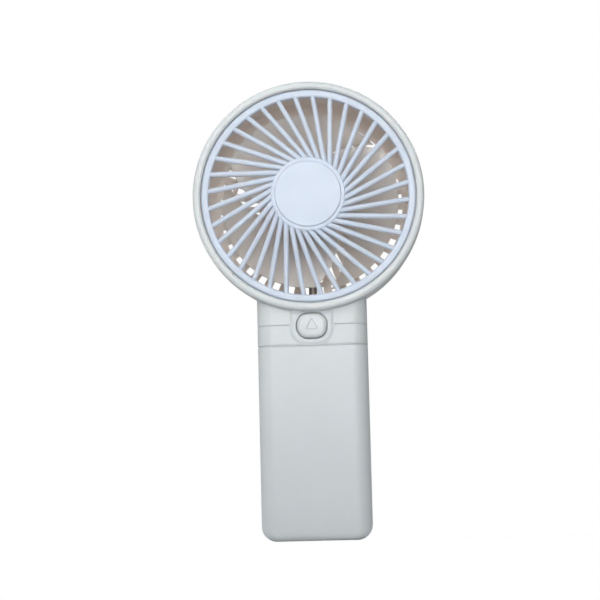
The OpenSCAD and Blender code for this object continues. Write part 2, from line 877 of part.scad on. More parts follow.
module contact_springs() {
  h = spring_h - 0.1;
  color("silver") {
    for (s = [-1, 1]) translate([s * cell_pitch, 0, bay_low + plate_t + 0.05])
      coil(4.6, 2.8, h, 0.35, 3.5);
    translate([0, 0, bay_top - plate_t - 0.05]) mirror([0, 0, 1]) coil(4.6, 2.8, h, 0.35, 3.5);
  }
}

module plate(x0, x1, z) {
  translate([x0, plate_front, z]) cube([x1 - x0, plate_back - plate_front, plate_t]);
}

module lower_bridge() {
  color("silver") plate(-cell_pitch - 5, 5, bay_low);
}

module lower_tab() {
  color("silver") {
    plate(cell_pitch - 6, cell_pitch + 5, bay_low);
    translate([cell_pitch - 6, -7.4, bay_low]) cube([3, 2.5, plate_t]);
  }
}

module upper_tab() {
  color("silver") {
    plate(-cell_pitch - 5, -cell_pitch + 5, bay_top - plate_t);
    translate([-cell_pitch - 1.5, plate_back - 0.1, bay_top - plate_t]) cube([3, 6 - plate_back, plate_t]);
    translate([-cell_pitch - 1.5, 5.5, bay_top - plate_t]) cube([3, 0.4, end_t + 4]);
  }
}

module upper_bridge() {
  color("silver") plate(-5, cell_pitch + 5, bay_top - plate_t);
}

module battery_wires() {
  valley = cell_pitch / 2;
  color("black") tube(smooth([[valley + 2.4, -6.6, bay_low + plate_t + wire_r],
    [valley + 1, -6.7, bay_low + 1.8], [valley, -6.9, bay_low + 6],
    [valley, -6.9, bay_low + 20], [valley, -6.9, bay_top - 20], [valley, -6.9, bay_top - 4],
    [valley, -6.8, bay_top + 4], [valley - 1, -3, bay_top + 9],
    [valley - 4, 1.5, collar_z - 2.5], [2.8, 1.8, collar_z + 2],
    [3.4, solder_y + 0.4, board_low + 3], [3.6, solder_y, board_low + 5]], 3), wire_r, [1, 0, 0]);
  color("firebrick") tube(smooth([[-cell_pitch, 4.8, bay_top + end_t + 3],
    [-cell_pitch + 0.6, 4.4, bay_top + end_t + 5.5], [-11, 3.4, bay_top + end_t + 9],
    [-6, 2.6, collar_z - 3.4], [-3, 2, collar_z + 2],
    [-3.2, solder_y + 0.4, board_low + 3], [-3.2, solder_y, board_low + 5]], 3), wire_r, [0, 1, 0]);
}

module case_screws() {
  color("silver") at_screws(screw_x, screw_z) {
    translate([0, 0, -screw_head_y - screw_head_t]) difference() {
      cylinder(r = screw_head_r, h = screw_head_t);
      translate([0, 0, -0.1]) for (a = [0, 90]) rotate([0, 0, a])
        translate([-1.2, -0.25, 0]) cube([2.4, 0.5, 0.9]);
    }
    translate([0, 0, -screw_head_y - 0.1]) cylinder(r = screw_r, h = screw_head_y + wall_back - 2);
  }
}

front_shell();
rear_shell();
front_grille();
impeller();
motor_shaft();
motor_armature();
motor_windings();
motor_commutator();
motor_can();
motor_magnets();
motor_bushes();
motor_end_cap();
motor_brushes();
motor_terminals();
motor_wires();
control_board();
board_components();
board_screws();
switch_body();
switch_plunger();
power_button();
button_spring();
battery_tray();
grip_sleeve();
battery_left();
battery_middle();
battery_right();
contact_springs();
lower_bridge();
lower_tab();
upper_tab();
upper_bridge();
battery_wires();
case_screws();
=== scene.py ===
import json
import math

import bmesh
import bpy
from mathutils import Matrix, Vector

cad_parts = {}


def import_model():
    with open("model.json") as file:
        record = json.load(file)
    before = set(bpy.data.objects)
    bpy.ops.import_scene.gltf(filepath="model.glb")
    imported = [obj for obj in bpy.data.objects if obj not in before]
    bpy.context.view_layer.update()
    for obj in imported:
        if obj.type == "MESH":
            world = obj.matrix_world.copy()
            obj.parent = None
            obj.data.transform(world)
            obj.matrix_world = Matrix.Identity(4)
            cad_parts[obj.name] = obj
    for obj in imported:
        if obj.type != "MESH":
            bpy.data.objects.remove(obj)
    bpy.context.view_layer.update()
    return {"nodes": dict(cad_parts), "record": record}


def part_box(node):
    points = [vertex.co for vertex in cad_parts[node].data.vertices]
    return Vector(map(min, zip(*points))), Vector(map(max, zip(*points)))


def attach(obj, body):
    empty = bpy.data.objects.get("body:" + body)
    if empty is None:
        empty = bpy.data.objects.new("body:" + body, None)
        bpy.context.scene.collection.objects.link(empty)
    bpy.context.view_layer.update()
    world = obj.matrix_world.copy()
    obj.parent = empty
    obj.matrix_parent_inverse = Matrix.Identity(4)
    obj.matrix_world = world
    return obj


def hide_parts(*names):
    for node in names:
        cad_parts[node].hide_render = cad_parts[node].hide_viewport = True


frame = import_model()
nodes = frame["nodes"]

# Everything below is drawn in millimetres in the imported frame: x right, y back, z up.
# The head is round about a line along y, and "forward" is a distance along -y.
MM = 0.001


def cad(node):
    """The low and the high corner of a CAD piece's box, in millimetres."""
    lo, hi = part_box(node)
    return [v / MM for v in lo], [v / MM for v in hi]


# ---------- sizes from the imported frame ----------

shell_lo, shell_hi = cad("front_shell")
rear_lo, rear_hi = cad("rear_shell")
grille_lo, grille_hi = cad("front_grille")
wheel_lo, wheel_hi = cad("impeller")
button_lo, button_hi = cad("power_button")
screws_lo, screws_hi = cad("case_screws")
sleeve_hi = cad("grip_sleeve")[1]
motor_r = cad("motor_can")[1][0]

ring_r = shell_hi[0]
axis_z = shell_hi[2] - ring_r
lip_front = -shell_lo[1]
drum_r = rear_hi[0]
head_back = -rear_hi[1]
hub_front = -grille_lo[1]
rim_r = grille_hi[0]
wheel_r = wheel_hi[0]
grip_w = 2 * sleeve_hi[0]
grip_t = 2 * sleeve_hi[1]
mouth_z = sleeve_hi[2]
neck_z = rear_lo[2]
button_z = (button_lo[2] + button_hi[2]) / 2
button_front = -button_lo[1]
screw_z = (screws_lo[2] + screws_hi[2]) / 2

# ---------- sizes that the boxes don't give ----------

wall = 2.0
seam = 0.05                                 # each half of the housing stops this far from the parting plane

# The head: a lip round the recess that the grille lies in, with a ledge under the grille's rim.
lip_w = 3.3
lip_out_r, lip_in_r = 2.05, 1.2
ring_len = 11.0
rim_sink = 1.2
rim_t = 3.0
rim_w = 3.2
ledge_w = 2.1
ledge_t = 1.6
rim_play = 0.35
recess_r = ring_r - lip_w
ring_back = lip_front - ring_len
bore_r = drum_r - wall
rim_front = lip_front - rim_sink
rim_back = rim_front - rim_t
open_r = rim_r - rim_w
ledge_r = recess_r - ledge_w
ledge_front = rim_back - rim_play
ledge_back = ledge_front - ledge_t
shoulder_r = 8.0

# The handle: a rounded bar, with a fine groove wherever two pieces meet.
grip_r = 6.5
line = 0.35
line_depth = 0.4
line_ease = 0.1
neck_top = axis_z - 0.6 * ring_r

# The button's hole, in a tongue that runs down from the ring.
hole_w, hole_h, hole_r = 13.5, 11.2, 5.1
tongue_rim = 2.5
tongue_rise = 0.42
tongue_corner_r = 7.1
tongue_w = hole_w + 2 * tongue_rim
tongue_low = button_z - hole_h / 2 - tongue_rim
tongue_front = grip_t / 2 + tongue_rise

# The two case screws go in from the back.
screw_head_r = 2.0
screw_seat_y = 7.0
screw_x = screws_hi[0] - screw_head_r

# The motor's seat in the back, and the skirt of the impeller round it.
seat_in = motor_r + 0.05
wheel_seat_r = seat_in + 1.2
skirt_in = wheel_seat_r + 0.6
skirt_r = skirt_in + 1.2


# ---------- mesh tools ----------

def on_head(radius, angle, forward):
    """A point of the head: radius from its axis, angle counted up from +x, and how far forward it is."""
    return radius * math.cos(angle), -forward, axis_z + radius * math.sin(angle)


def fillet(corners, radii, steps=6):
    """A closed outline through the corners, each rounded by its own radius."""
    outline = []
    count = len(corners)
    for i, (corner, radius) in enumerate(zip(corners, radii)):
        p = Vector(corner)
        a = Vector(corners[i - 1]) - p
        b = Vector(corners[(i + 1) % count]) - p
        if radius <= 0:
            outline.append(tuple(p))
            continue
        half = a.angle(b) / 2
        reach = min(radius / math.tan(half), a.length * 0.49, b.length * 0.49)
        radius = reach * math.tan(half)
        centre = p + (a.normalized() + b.normalized()).normalized() * (radius / math.sin(half))
        start = p + a.normalized() * reach - centre
        end = p + b.normalized() * reach - centre
        turn = math.atan2(start.x * end.y - start.y * end.x, start.dot(end))
        for s in range(steps + 1):
            outline.append(tuple(centre + Matrix.Rotation(turn * s / steps, 2) @ start))
    return outline


def rounded_rect(w, h, r, steps):
    corners = [(w / 2, -h / 2), (w / 2, h / 2), (-w / 2, h / 2), (-w / 2, -h / 2)]
    return fillet(corners, [r] * 4, steps)


def revolve(profile, steps, closed=True):
    """Turns (radius, forward) points about the head's axis. An open profile starts and ends on it."""
    count = len(profile)
    verts = []
    faces = []
    for k in range(steps):
        angle = 2 * math.pi * k / steps
        verts += [on_head(r, angle, f) for r, f in profile]
        step = (k + 1) % steps
        for i in range(count if closed else count - 1):
            j = (i + 1) % count
            faces.append((k * count + i, k * count + j, step * count + j, step * count + i))
    return verts, faces


def loft(rings, closed=False):
    """Skins a list of closed outlines. Open ends are capped."""
    count = len(rings[0])
    verts = [p for ring in rings for p in ring]
    faces = []
    for k in range(len(rings) if closed else len(rings) - 1):
        step = (k + 1) % len(rings)
        for i in range(count):
            j = (i + 1) % count
            faces.append((k * count + i, k * count + j, step * count + j, step * count + i))
    if not closed:
        last = (len(rings) - 1) * count
        faces.append(tuple(range(count - 1, -1, -1)))
        faces.append(tuple(range(last, last + count)))
    return verts, faces


def cylinder_y(x, z, radius, y0, y1, steps=40):
    """A round bar along y."""
    rings = []
    for y in (y0, y1):
        rings.append([(x + radius * math.cos(2 * math.pi * k / steps), y,
                       z + radius * math.sin(2 * math.pi * k / steps)) for k in range(steps)])
    return loft(rings)


def block(lo, hi):
    """A box from one corner to the other."""
    base = [(lo[0], lo[1]), (hi[0], lo[1]), (hi[0], hi[1]), (lo[0], hi[1])]
    return loft([[(x, y, z) for x, y in base] for z in (lo[2], hi[2])])


def make(name, *shapes):
    """One object out of one or more (verts, faces) shapes, given in millimetres."""
    bm = bmesh.new()
    for verts, faces in shapes:
        made = [bm.verts.new(Vector(v) * MM) for v in verts]
        for face in faces:
            bm.faces.new([made[i] for i in face])
    bmesh.ops.remove_doubles(bm, verts=bm.verts, dist=1e-7)
    bmesh.ops.recalc_face_normals(bm, faces=bm.faces)
    mesh = bpy.data.meshes.new(name)
    bm.to_mesh(mesh)
    bm.free()
    obj = bpy.data.objects.new(name, mesh)
    bpy.context.scene.collection.objects.link(obj)
    return obj


def settle(obj):
    """Replaces the object's mesh by what its modifiers make of it."""
    bpy.context.view_layer.update()
    made = bpy.data.meshes.new_from_object(obj.evaluated_get(bpy.context.evaluated_depsgraph_get()))
    obj.modifiers.clear()
    obj.data = made


def combine(obj, operation, *others):
    """Joins the others to the object, or cuts them out of it. They are used up."""
    for other in others:
        mod = obj.modifiers.new("combine", "BOOLEAN")
        mod.operation = operation
        mod.solver = "MANIFOLD"
        mod.object = other
        settle(obj)
        bpy.data.objects.remove(other)


def join(obj, *shapes):
    combine(obj, "UNION", *[make("tool", s) for s in shapes])


def cut(obj, *shapes):
    combine(obj, "DIFFERENCE", *[make("tool", s) for s in shapes])


def soften(obj, width, sharp=30):
    """Rounds the edges that turn by more than sharp degrees."""
    bm = bmesh.new()
    bm.from_mesh(obj.data)
    bmesh.ops.remove_doubles(bm, verts=bm.verts, dist=2e-6)
    bmesh.ops.dissolve_limit(bm, angle_limit=math.radians(0.2), verts=bm.verts, edges=bm.edges)
    edges = [e for e in bm.edges if len(e.link_faces) == 2 and e.calc_face_angle() > math.radians(sharp)]
    bmesh.ops.bevel(bm, geom=edges, offset=width * MM, segments=2, profile=0.6,
                    affect="EDGES", clamp_overlap=True)
    bm.to_mesh(obj.data)
    bm.free()


def finish(obj, body, slot, stands_for, sharp=32):
    """Smooth shading with crisp edges, then the piece's body, finish and CAD node."""
    mesh = obj.data
    for name in ("sharp_face", "custom_normal"):
        if name in mesh.attributes:
            mesh.attributes.remove(mesh.attributes[name])
    mesh.polygons.foreach_set("use_smooth", [True] * len(mesh.polygons))
    mesh.set_sharp_from_angle(angle=math.radians(sharp))
    normals = obj.modifiers.new("normals", "WEIGHTED_NORMAL")
    normals.keep_sharp = True
    obj.data.materials.clear()
    obj.data.materials.append(materials[slot])
    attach(obj, body)
    if stands_for:
        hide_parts(stands_for)


# ---------- materials ----------

def shader(name, color, rough, metal=0.0):
    mat = bpy.data.materials.new(name)
    mat.use_nodes = True
    mat.diffuse_color = (*color, 1)
    tree = mat.node_tree
    bsdf = tree.nodes["Principled BSDF"]
    bsdf.inputs["Metallic"].default_value = metal
    bsdf.inputs["Roughness"].default_value = rough
    bsdf.inputs["Base Color"].default_value = (*color, 1)
    return mat, tree, bsdf


def noise(tree, scale, detail, stretch=(1, 1, 1)):
    """Noise fixed to the piece, with that many turns to the metre."""
    place = tree.nodes.new("ShaderNodeTexCoord")
    mapping = tree.nodes.new("ShaderNodeMapping")
    mapping.inputs["Scale"].default_value = stretch
    tree.links.new(place.outputs["Object"], mapping.inputs["Vector"])
    tex = tree.nodes.new("ShaderNodeTexNoise")
    tex.inputs["Scale"].default_value = scale
    tex.inputs["Detail"].default_value = detail
    tree.links.new(mapping.outputs["Vector"], tex.inputs["Vector"])
    return tex.outputs["Fac"]


def ramp(tree, value, stops):
    """Colours by value: stops are (value, colour) pairs."""
    node = tree.nodes.new("ShaderNodeValToRGB")
    while len(node.color_ramp.elements) < len(stops):
        node.color_ramp.elements.new(0.5)
    for element, (at, color) in zip(node.color_ramp.elements, stops):
        element.position = at
        element.color = (*color, 1)
    tree.links.new(value, node.inputs["Fac"])
    return node.outputs["Color"]


def spread(tree, value, low, high):
    """Noise stretched over the range from low to high."""
    node = tree.nodes.new("ShaderNodeMapRange")
    node.inputs["From Min"].default_value = 0.3
    node.inputs["From Max"].default_value = 0.7
    node.inputs["To Min"].default_value = low
    node.inputs["To Max"].default_value = high
    tree.links.new(value, node.inputs["Value"])
    return node.outputs["Result"]


def bump(tree, bsdf, height, strength, distance):
    """Turns a height into fine relief on the surface, distance metres deep."""
    node = tree.nodes.new("ShaderNodeBump")
    node.inputs["Strength"].default_value = strength
    node.inputs["Distance"].default_value = distance
    tree.links.new(height, node.inputs["Height"])
    tree.links.new(node.outputs["Normal"], bsdf.inputs["Normal"])


def tinted(color, by):
    return tuple(min(1.0, c * by) for c in color)


GRAIN_SCALE = 2600


def plastic(name, color, rough, grain=0.12, depth=0.012, glow=0.0, painted_glow=0.0):
    """Moulded plastic: faint flow clouds in its colour, a fine moulded grain, and uneven gloss.

    depth is how strong the clouds are, glow how much light soaks in, as in a thin white wall, and the last
    argument is
    the strength of a painted glow: emission in the plastic's own colour, standing in for light that comes
    through from behind.
    """
    mat, tree, bsdf = shader(name, color, rough)
    clouds = noise(tree, 38, 4, (1, 1, 0.55))
    dark, light = tinted(color, 1 - depth), tinted(color, 1 + depth)
    tree.links.new(ramp(tree, clouds, [(0.35, dark), (0.65, light)]), bsdf.inputs["Base Color"])
    smears = noise(tree, 170, 3)
    tree.links.new(spread(tree, smears, rough - 0.05, rough + 0.06), bsdf.inputs["Roughness"])
    bump(tree, bsdf, noise(tree, GRAIN_SCALE, 2), grain, 0.00012)
    bsdf.inputs["IOR"].default_value = 1.52
    bsdf.inputs["Subsurface Weight"].default_value = glow
    bsdf.inputs["Subsurface Radius"].default_value = (1.0, 0.72, 0.55)
    bsdf.inputs["Subsurface Scale"].default_value = 0.004
    bsdf.inputs["Emission Color"].default_value = (*color, 1)
    # Painted glow: emission in the plastic's own colour, standing in for light from behind.
    bsdf.inputs["Emission Strength"].default_value = painted_glow
    return mat


def metal(name, color, rough, scale=900, stretch=(1, 1, 1), grain=0.1):
    """Bare or coated metal with fine streaks in its colour, gloss and relief."""
    mat, tree, bsdf = shader(name, color, rough, 1.0)
    streaks = noise(tree, scale, 4, stretch)
    dark, light = tinted(color, 0.86), tinted(color, 1.08)
    tree.links.new(ramp(tree, streaks, [(0.3, dark), (0.7, light)]), bsdf.inputs["Base Color"])
    tree.links.new(spread(tree, streaks, rough - 0.06, rough + 0.1), bsdf.inputs["Roughness"])
    bump(tree, bsdf, noise(tree, scale * 2, 3, stretch), grain, 0.00008)
    return mat


def duct_painted_light_mask(tree, front):
    """1 on the inner surfaces of the head, up to the front limit, and 0 elsewhere: where the duct's painted
    light goes.

    The mask ends inside the back wall, whose outer face curves forward over the shoulder.
    """
    place = tree.nodes.new("ShaderNodeTexCoord")
    split = tree.nodes.new("ShaderNodeSeparateXYZ")
    tree.links.new(place.outputs["Object"], split.inputs["Vector"])

    def math_node(operation, first, second):
        node = tree.nodes.new("ShaderNodeMath")
        node.operation = operation
        for socket, value in zip(node.inputs, (first, second)):
            if isinstance(value, (int, float)):
                socket.default_value = value
            else:
                tree.links.new(value, socket)
        return node.outputs["Value"]

    def square(value):
        return math_node("POWER", value, 2.0)

    def root(value):
        return math_node("POWER", value, 0.5)

    up = math_node("SUBTRACT", split.outputs["Z"], axis_z * MM)
    radius_2 = math_node("ADD", square(split.outputs["X"]), square(up))
    near = math_node("LESS_THAN", radius_2, ((recess_r + 0.12) * MM) ** 2)
    behind = math_node("GREATER_THAN", split.outputs["Y"], -front * MM)
    past_flat = math_node("SUBTRACT", root(radius_2), (drum_r - shoulder_r) * MM)
    over = math_node("MAXIMUM", past_flat, 0.0)
    left = math_node("MAXIMUM", math_node("SUBTRACT", (shoulder_r * MM) ** 2, square(over)), 0.0)
    fall = math_node("SUBTRACT", shoulder_r * MM, root(left))
    back_limit = -(head_back + 0.45 * wall) * MM
    ahead = math_node("LESS_THAN", math_node("ADD", split.outputs["Y"], fall), back_limit)
    return math_node("MULTIPLY", math_node("MULTIPLY", near, behind), ahead)


SHELL = (0.57, 0.60, 0.605)
# Painted light in the duct: a brighter, warmer copy of the shell colour for its inner faces, and the
# strength of a painted glow over them.
DUCT_PAINTED_LIGHT = (0.70, 0.65, 0.61)
DUCT_PAINTED_GLOW = 0.085


def shell(name, color, rough, inner):
    """The housing's plastic, with painted light in the duct: a warmer, brighter colour and a faint painted
    glow there stand in for the light that comes through the thin walls.
    """
    mat = plastic(name, color, rough, glow=0.3)
    tree = mat.node_tree
    bsdf = tree.nodes["Principled BSDF"]
    outside = bsdf.inputs["Base Color"].links[0].from_socket
    # Painted light: the duct's inner faces take the brighter, warmer duct colour instead of the shell
    # colour.
    mix = tree.nodes.new("ShaderNodeMix")
    mix.data_type = "RGBA"
    tree.links.new(duct_painted_light_mask(tree, rim_back - 0.2), mix.inputs["Factor"])
    tree.links.new(outside, mix.inputs["A"])
    mix.inputs["B"].default_value = (*inner, 1)
    tree.links.new(mix.outputs["Result"], bsdf.inputs["Base Color"])
    # Painted glow in the duct colour over the inner faces of the head and the recess wall behind the lip,
    # standing in for light through the walls.
    painted_glow_strength = tree.nodes.new("ShaderNodeMath")
    painted_glow_strength.operation = "MULTIPLY"
    tree.links.new(duct_painted_light_mask(tree, lip_front - 0.75), painted_glow_strength.inputs[0])
    painted_glow_strength.inputs[1].default_value = DUCT_PAINTED_GLOW
    bsdf.inputs["Emission Color"].default_value = (*inner, 1)
    tree.links.new(painted_glow_strength.outputs["Value"], bsdf.inputs["Emission Strength"])
    return mat


materials = {
    "shell_plastic": shell("shell_plastic", SHELL, 0.42, DUCT_PAINTED_LIGHT),
    "button_plastic": plastic("button_plastic", SHELL, 0.38, glow=0.3),
    "tray_plastic": plastic("tray_plastic", SHELL, 0.42, glow=0.3),
    # The grille gets a small painted glow, standing in for light that comes through it from behind.
    "grille_plastic": plastic("grille_plastic", (0.455, 0.51, 0.595), 0.38, grain=0.08, glow=0.45, painted_glow=0.1),
    # The impeller's tan is its cream plastic warmed by a painted tint: painted shade and warm reflected
    # light in the shaded duct.
    "impeller_plastic": plastic("impeller_plastic", (0.61, 0.565, 0.525), 0.36, grain=0.08, glow=0.4),
    "cap_plastic": plastic("cap_plastic", (0.7, 0.7, 0.66), 0.5),
    "component_black": plastic("component_black", (0.02, 0.02, 0.022), 0.45),
    "wire_skin": plastic("wire_skin", (0.26, 0.24, 0.225), 0.35),
    "board": plastic("board", (0.015, 0.12, 0.045), 0.3, grain=0.2, depth=0.2),
    "shaft_steel": metal("shaft_steel", (0.62, 0.62, 0.63), 0.22, stretch=(1, 0.05, 1)),
    "lamination_steel": metal("lamination_steel", (0.32, 0.33, 0.34), 0.4, 5000, (0.1, 1, 0.1)),
    "copper_wire": metal("copper_wire", (0.62, 0.26, 0.1), 0.3, 3000, (1, 0.2, 1), 0.3),
    "can_steel": metal("can_steel", (0.55, 0.57, 0.6), 0.3, stretch=(1, 0.1, 1)),
    "ferrite": metal("ferrite", (0.06, 0.06, 0.065), 0.7, 2500),
    "bush_bronze": metal("bush_bronze", (0.5, 0.33, 0.13), 0.45, 4000),
    "contact_metal": metal("contact_metal", (0.6, 0.6, 0.57), 0.28, 1200, (0.1, 1, 1)),
    "spring_steel": metal("spring_steel", (0.58, 0.58, 0.58), 0.25),
    "screw_steel": metal("screw_steel", (0.5, 0.5, 0.52), 0.32, 2000),
    "cell_wrap": metal("cell_wrap", (0.12, 0.14, 0.18), 0.35, 300, (1, 1, 0.1), 0.04),
}


# ---------- front housing ----------

def handle_ring(z, inset):
    """The handle's outline at a height, moved in by inset."""
    outline = rounded_rect(grip_w - 2 * inset, grip_t - 2 * inset, grip_r - inset, 10)
    return [(x, y, z) for x, y in outline]


def neck_tube(top):
    """The neck's wall, with the lower edge eased to make half of the parting line."""
    outer = [(neck_z, line_depth), (neck_z + line, line_ease), (neck_z + 2 * line, 0), (top, 0)]
    rings = [handle_ring(z, inset) for z, inset in outer]
    rings += [handle_ring(top, wall), handle_ring(neck_z, wall)]
    return loft(rings, closed=True)


def handle_half(front):
    """A block that takes away the front half or the back half of the neck, past the parting plane."""
    reach = 60
    gap = 0.02
    y0, y1 = (-reach, -gap) if front else (gap, reach)
    return block((-reach, y0, neck_z - 20), (reach, y1, axis_z))


def head_cylinder(radius):
    reach = 40
    return revolve([(0, reach), (radius, reach), (radius, -reach), (0, -reach)], 256, closed=False)


def tongue_ring(y, inset):
    """The U-shaped outline of the tongue at one depth. Its top is hidden in the ring."""
    top = axis_z - ring_r + 3
    half = tongue_w / 2 - inset
    low = tongue_low + inset
    r = tongue_corner_r - inset
    corners = [(half, top), (-half, top), (-half, low), (half, low)]
    return [(x, y, z) for x, z in fillet(corners, [0, 0, r, r], 12)]


def tongue():
    """A low step with soft sides, which spread a little where they meet the neck."""
    foot, slope, steps = 0.35, 1.65, 8
    rings = [tongue_ring(-grip_t / 2 + wall, -foot), tongue_ring(-grip_t / 2 + 0.1, -foot)]
    for k in range(steps + 1):
        t = k / steps
        rings.append(tongue_ring(-grip_t / 2 - tongue_rise * t * t * (3 - 2 * t), slope * t - foot))
    return loft(rings)


def tongue_root():
    """The concave sweep that carries the tongue's front up into the ring's lip."""
    reach, rise, depth, steps = 2.2, 1.9, 1.5, 10
    low = axis_z - ring_r - reach
    profile = [(-tongue_front + depth, low - 0.4)]
    for k in range(steps + 1):
        t = k / steps
        profile.append((-tongue_front + 0.05 - rise * t * t, low + 2 * reach * t))
    profile.append((-tongue_front + depth, low + 2 * reach))
    half = tongue_w / 2 - 1.2
    rings = [[(x, y, z) for y, z in profile] for x in (-half, half)]
    return loft(rings)


def button_hole():
    """The cutter of the button's hole, with a small chamfer at the front."""
    edge, chamfer = 0.22, 0.16
    depths = [(-tongue_front - 2, edge), (-tongue_front, edge), (-tongue_front + chamfer, 0.05),
              (-tongue_front + 0.4, 0), (0, 0)]
    rings = []
    for y, grow in depths:
        outline = rounded_rect(hole_w + 2 * grow, hole_h + 2 * grow, hole_r + grow, 10)
        rings.append([(x, y, button_z + z) for x, z in outline])
    return loft(rings)


def head_profile():
    """The ring in section: drum, outer wall, lip, the grille's recess, its ledge and the duct."""
    corners = [(drum_r, seam), (drum_r, ring_back), (ring_r, ring_back), (ring_r, lip_front),
               (recess_r, lip_front), (recess_r, ledge_front), (ledge_r, ledge_front),
               (ledge_r, ledge_back), (bore_r, ledge_back), (bore_r, seam)]
    return fillet(corners, [0.2, 0.3, 0.45, lip_out_r, lip_in_r, 0.2, 0.25, 0.25, 0.3, 0.2], 8)


def pry_notch():
    """The recess in the lip that a fingernail goes into to pull the grille off."""
    angle = math.radians(228)
    width, height, corner = 5.0, 1.7, 0.8
    across = Vector((-math.sin(angle), 0, math.cos(angle)))
    out = Vector((math.cos(angle), 0, math.sin(angle)))
    outline = rounded_rect(width, height, corner, 6)
    rings = []
    for forward in (rim_front - 1.2, lip_front + 1):
        middle = Vector(on_head(recess_r + 0.1, angle, forward))
        rings.append([tuple(middle + across * u + out * v) for u, v in outline])
    return loft(rings)


def front_housing():
    post_r, pilot_r = 2.7, 1.15
    housing = make("front_housing", neck_tube(neck_top))
    cut(housing, handle_half(False), head_cylinder(drum_r - wall / 2))
    boss = make("boss", tongue())
    join(boss, tongue_root())
    cut(boss, head_cylinder(ring_r - 1))
    combine(housing, "UNION", boss)
    join(housing, revolve(head_profile(), 288))
    cut(housing, button_hole(), pry_notch())
    for x in (-screw_x, screw_x):
        join(housing, cylinder_y(x, screw_z, post_r, -grip_t / 2 + wall / 2, -1))
        cut(housing, cylinder_y(x, screw_z, pilot_r, -grip_t / 2 + 3.5, 0))
    finish(housing, "housing", "shell_plastic", "front_shell")


# ---------- rear housing ----------

SLOTS = 36
SLOT_SHARE = 0.47                           # of the turn from one slot to the next
FLAT_RADII = [0, 8, 16, 19.5, 23, 26, 30, 34, 36, 38.5]
INNER_ROWS = range(4, 7)                    # a slot from radius 23 to 34
OUTER_ROWS = range(8, 10)                   # a slot from radius 36 to the shoulder


def back_profile(inset):
    """From the middle of the back out over the shoulder to the parting line, moved in by inset."""
    r = shoulder_r - inset
    corner_r, corner_f = drum_r - shoulder_r, head_back + shoulder_r
    steps, sweep = 10, 75.5
    points = [(radius, head_back + inset) for radius in FLAT_RADII]
    for k in range(steps + 1):
        a = math.radians(sweep * k / steps - 90)
        points.append((corner_r + r * math.cos(a), corner_f + r * math.sin(a)))
    eased = 0.2 if inset == 0 else 0
    points.append((drum_r - inset, corner_f))
    points.append((drum_r - inset, -0.25))
    points.append((drum_r - inset - eased, -seam))
    return points


def rear_drum():
    """The slotted back as a double-walled grid, with walls all round each slot."""
    outer, inner = back_profile(0), back_profile(wall)
    count = len(outer)
    last = count - 1
    rib = 0.5 - SLOT_SHARE / 2
    cuts = [0, 0.34 * rib, 0.67 * rib, rib, 0.5, 1 - rib, 1 - 0.67 * rib, 1 - 0.34 * rib]
    columns = [(s + c) / SLOTS * 2 * math.pi for s in range(SLOTS) for c in cuts]
    wide = len(cuts)
    total = len(columns)
    verts = []
    for angle in columns:
        verts += [on_head(r, angle, f) for r, f in outer]
        verts += [on_head(r, angle, f) for r, f in inner]

    def at(col, row, side):
        return (col % total) * 2 * count + side * count + row

    def is_open(col, row):
        return (col % wide) in (3, 4) and (row in INNER_ROWS or row in OUTER_ROWS)

    def across_wall(col_a, row_a, col_b, row_b):
        """A face from the outer skin to the inner one, along one side of a cell."""
        return at(col_a, row_a, 0), at(col_b, row_b, 0), at(col_b, row_b, 1), at(col_a, row_a, 1)

    faces = []
    for col in range(total):
        for row in range(last):
            if is_open(col, row):
                for step in (0, 1):
                    if not is_open(col + 2 * step - 1, row):
                        faces.append(across_wall(col + step, row, col + step, row + 1))
                    if not is_open(col, row + 2 * step - 1):
                        faces.append(across_wall(col, row + step, col + 1, row + step))
                continue
            for side in (0, 1):
                faces.append((at(col, row, side), at(col + 1, row, side),
                              at(col + 1, row + 1, side), at(col, row + 1, side)))
        faces.append(across_wall(col, last, col + 1, last))
    return verts, faces


def motor_seat():
    """The round wall on the back that holds the motor."""
    foot, top = head_back + wall - 0.5, head_back + wall + 9.5
    section = [(wheel_seat_r, foot), (wheel_seat_r, top), (seat_in, top), (seat_in, foot)]
    return revolve(fillet(section, [0, 0.3, 0.3, 0], 4), 96)


def rear_housing():
    post_r, recess, clearance = 3.1, screw_head_r + 0.3, 1.3
    lead_half, lead_y = 3.4, 7.0
    housing = make("rear_housing", rear_drum())
    soften(housing, 0.28, 40)
    neck = make("neck", neck_tube(neck_top))
    cut(neck, handle_half(True), head_cylinder(drum_r - wall / 2))
    combine(housing, "UNION", neck)
    join(housing, motor_seat())
    for x in (-screw_x, screw_x):
        join(housing, cylinder_y(x, screw_z, post_r, 1, grip_t / 2 - wall / 2))
        cut(housing, cylinder_y(x, screw_z, recess, screw_seat_y, grip_t),
            cylinder_y(x, screw_z, clearance, 0, grip_t))
    lead_hole = block((-lead_half, lead_y - lead_half, axis_z - drum_r - 2),
                      (lead_half, lead_y + lead_half, axis_z - drum_r + 4))
    cut(housing, lead_hole)
    finish(housing, "housing", "shell_plastic", "rear_shell", 38)


# ---------- front grille ----------

SPOKES = 36
SPOKE_LEAN = 9.4                            # how far each spoke's line passes from the axis
SPOKE_PHASE = math.radians(-1.4)
spoke_root_w, spoke_tip_w = 2.2, 2.1
spoke_depth = 2.2
hub_r, disc_r = 16.2, 14.2
hub_step = 0.7
hub_t = 2.6


def mixed(start, end, t):
    return start * (1 - t) + end * t


def spoke_section(width):
    """A spoke's cross-section: straight sides under a rounded top. x across, y forward."""
    crown, ease, steps = 0.9, 0.25, 7
    half = width / 2
    foot = -spoke_depth
    points = [(ease - half, foot), (half - ease, foot), (half, foot + ease)]
    for k in range(steps + 1):
        a = math.pi * k / steps
        points.append((half * math.cos(a), crown * math.sin(a) - crown))
    points.append((-half, foot + ease))
    return points


